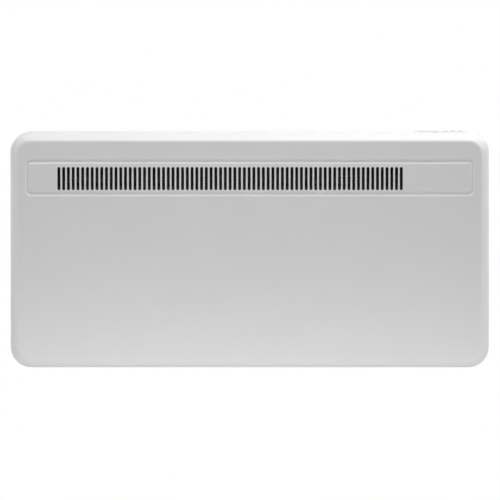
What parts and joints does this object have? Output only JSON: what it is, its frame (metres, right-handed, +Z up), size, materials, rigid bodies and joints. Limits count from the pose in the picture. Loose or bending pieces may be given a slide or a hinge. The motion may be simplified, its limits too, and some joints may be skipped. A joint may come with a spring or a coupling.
{
  "type": "panel heater",
  "caption": "Wall-hung electric panel heater: flat pressed case with a sloped rim and slotted warm-air outlet, controls let into the top, and a hinged wall bracket.",
  "frame": {"origin": "midway between the four wall screw holes, on the wall plane", "axes": "+Z up, +X to the right seen from the room, +Y into the wall; the heater's face looks along -Y"},
  "size_m": [0.878, 0.1078, 0.4339],
  "materials": {
    "powder_coat": "white powder coat, satin, with a fine orange-peel",
    "galvanised_sheet": "zinc-coated steel sheet, dull, with faint spangle",
    "aluminised_sheet": "aluminised steel sheet, half bright",
    "extruded_aluminium": "extruded, drawn lines along the length",
    "bright_steel": "bright zinc plate",
    "plate_aluminium": "thin rolled plate, bare",
    "black_enamel": "heat-proof black enamel, matt",
    "dark_plastic": "fine moulded grain",
    "white_plastic": "satin moulded plastic",
    "smoked_lens": "smoked, polished",
    "display_glass": "grey-green display glass",
    "circuit_board": "solder resist",
    "glazed_bush": "unglazed, off-white",
    "ivory_plastic": "moulded",
    "black_rubber": "matt",
    "lead_sleeve": "silicone sleeve",
    "black_sleeve": "silicone sleeve",
    "earth_sleeve": "green sleeve with a yellow stripe",
    "capacitor_sleeve": "shrunk sleeve over a can",
    "grey_ribbon": "flat ribbon"
  },
  "bodies": {
    "wall_bracket": {"bracket_arm_left": "powder_coat", "bracket_arm_right": "powder_coat", "bracket_rail_upper": "powder_coat", "bracket_rail_lower": "powder_coat", "latch_clips": "bright_steel", "clip_rivets": "bright_steel", "bumper_pads": "black_rubber"},
    "heater": {"front_panel": "powder_coat", "back_panel": "galvanised_sheet", "air_guide": "galvanised_sheet", "duct_end_left": "galvanised_sheet", "duct_end_right": "galvanised_sheet", "element_bracket_left": "galvanised_sheet", "element_bracket_right": "galvanised_sheet", "cutout_bracket": "galvanised_sheet", "pivot_lugs": "galvanised_sheet", "latch_tongues": "galvanised_sheet", "heat_shield": "aluminised_sheet", "element_body": "extruded_aluminium", "case_screws": "bright_steel", "element_rod": "bright_steel", "room_sensor": "bright_steel", "earth_stud": "bright_steel", "pivot_pins": "bright_steel", "pin_clips": "bright_steel", "tact_switches": "bright_steel", "transformer": "bright_steel", "board_screws": "bright_steel", "data_plate": "plate_aluminium", "outlet_guard": "black_enamel", "outlet_sill": "black_enamel", "thermal_cutout": "dark_plastic", "relay": "dark_plastic", "fuse_holder": "dark_plastic", "cable_gland": "dark_plastic", "gland_nut": "dark_plastic", "control_bezel": "white_plastic", "board_spacers": "white_plastic", "sensor_clip": "white_plastic", "cable_sockets": "white_plastic", "display_lens": "smoked_lens", "display_panel": "display_glass", "display_board": "circuit_board", "power_board": "circuit_board", "ceramic_bushes": "glazed_bush", "terminal_block": "ivory_plastic", "lead_grommets": "black_rubber", "element_leads": "lead_sleeve", "supply_leads": "lead_sleeve", "cutout_leads": "black_sleeve", "sensor_lead": "black_sleeve", "earth_lead": "earth_sleeve", "capacitors": "capacitor_sleeve", "ribbon_cable": "grey_ribbon"},
    "standby_key": {"button_standby": "white_plastic"},
    "menu_key": {"button_menu": "white_plastic"},
    "enter_key": {"button_enter": "white_plastic"},
    "down_key": {"button_down": "white_plastic"},
    "up_key": {"button_up": "white_plastic"}
  },
  "joints": [
    {"name": "heater_tilt", "type": "hinge", "parent": "wall_bracket", "child": "heater", "pos_m": [0, -0.01, -0.185], "axis": [1, 0, 0], "range_deg": [0, 25]},
    {"name": "standby_press", "type": "slide", "parent": "heater", "child": "standby_key", "axis": [0, 0, -1], "range_m": [0, 0.0008], "stiffness_N_per_m": 800, "springref_m": -0.0005},
    {"name": "menu_press", "type": "slide", "parent": "heater", "child": "menu_key", "axis": [0, 0, -1], "range_m": [0, 0.0008], "stiffness_N_per_m": 800, "springref_m": -0.0005},
    {"name": "enter_press", "type": "slide", "parent": "heater", "child": "enter_key", "axis": [0, 0, -1], "range_m": [0, 0.0008], "stiffness_N_per_m": 800, "springref_m": -0.0005},
    {"name": "down_press", "type": "slide", "parent": "heater", "child": "down_key", "axis": [0, 0, -1], "range_m": [0, 0.0008], "stiffness_N_per_m": 800, "springref_m": -0.0005},
    {"name": "up_press", "type": "slide", "parent": "heater", "child": "up_key", "axis": [0, 0, -1], "range_m": [0, 0.0008], "stiffness_N_per_m": 800, "springref_m": -0.0005}
  ]
}
